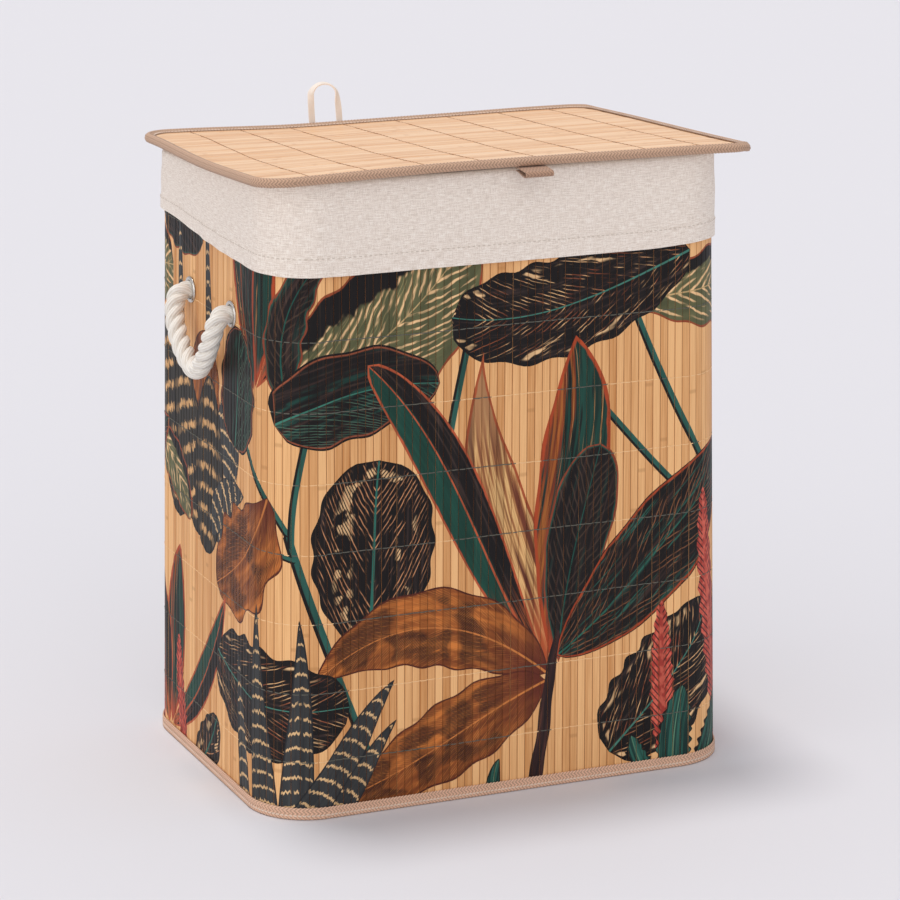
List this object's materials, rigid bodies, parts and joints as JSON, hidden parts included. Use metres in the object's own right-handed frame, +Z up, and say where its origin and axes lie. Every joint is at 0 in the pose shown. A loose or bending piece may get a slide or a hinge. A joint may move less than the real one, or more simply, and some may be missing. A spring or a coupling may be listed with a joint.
{
  "type": "laundry hamper with lid",
  "caption": "Rounded box hamper of printed bamboo slats with a turned-out linen liner, rope handles through eyelets and a slatted lid on a cloth hinge.",
  "frame": {"origin": "centre of the underside, on the floor", "axes": "+Z up out of the basket, -Y towards the long front side with the lid's pull tab, +X to the right seen from the front"},
  "size_m": [0.4492, 0.3353, 0.5373],
  "materials": {
    "printed_bamboo": "satin, printed with dark foliage",
    "plain_bamboo": "satin",
    "board": "matte",
    "backing_cloth": "matte",
    "woven_tape": "matte, ribbed",
    "linen_cloth": "matte melange weave",
    "cream_tape": "matte",
    "cotton_rope": "matte, three-strand twist",
    "steel_wire": "drawn",
    "eyelet_metal": "polished"
  },
  "bodies": {
    "basket": {"slat_wall_front": "printed_bamboo", "slat_wall_rear": "printed_bamboo", "slat_wall_left": "printed_bamboo", "slat_wall_right": "printed_bamboo", "slat_corner_front_left": "printed_bamboo", "slat_corner_front_right": "printed_bamboo", "slat_corner_rear_left": "printed_bamboo", "slat_corner_rear_right": "printed_bamboo", "base_board": "board", "base_sheet": "backing_cloth", "wall_backing": "backing_cloth", "bottom_binding": "woven_tape", "top_binding": "woven_tape", "hinge_tape_basket": "woven_tape", "liner": "linen_cloth", "rim_wire": "steel_wire", "eyelet_left_front": "eyelet_metal", "eyelet_washer_left_front": "eyelet_metal", "rope_knot_left_front": "cotton_rope", "eyelet_left_rear": "eyelet_metal", "eyelet_washer_left_rear": "eyelet_metal", "rope_knot_left_rear": "cotton_rope", "eyelet_right_front": "eyelet_metal", "eyelet_washer_right_front": "eyelet_metal", "rope_knot_right_front": "cotton_rope", "eyelet_right_rear": "eyelet_metal", "eyelet_washer_right_rear": "eyelet_metal", "rope_knot_right_rear": "cotton_rope"},
    "lid": {"lid_slats": "plain_bamboo", "lid_lining": "linen_cloth", "lid_binding": "woven_tape", "lid_wire": "steel_wire", "lid_pull_tab": "woven_tape", "lid_loop": "cream_tape", "hinge_tape_lid": "woven_tape"},
    "handle_left": {"handle_rope_left": "cotton_rope"},
    "handle_right": {"handle_rope_right": "cotton_rope"}
  },
  "joints": [
    {"name": "lid_hinge", "type": "hinge", "parent": "basket", "child": "lid", "pos_m": [0, 0.149, 0.4985], "axis": [-1, 0, 0], "range_deg": [0, 130]},
    {"name": "handle_left_swing", "type": "hinge", "parent": "basket", "child": "handle_left", "pos_m": [-0.21015, -0.004, 0.4], "axis": [0, 1, 0], "range_deg": [0, 135]},
    {"name": "handle_right_swing", "type": "hinge", "parent": "basket", "child": "handle_right", "pos_m": [0.21015, -0.004, 0.4], "axis": [0, -1, 0], "range_deg": [0, 135]}
  ]
}
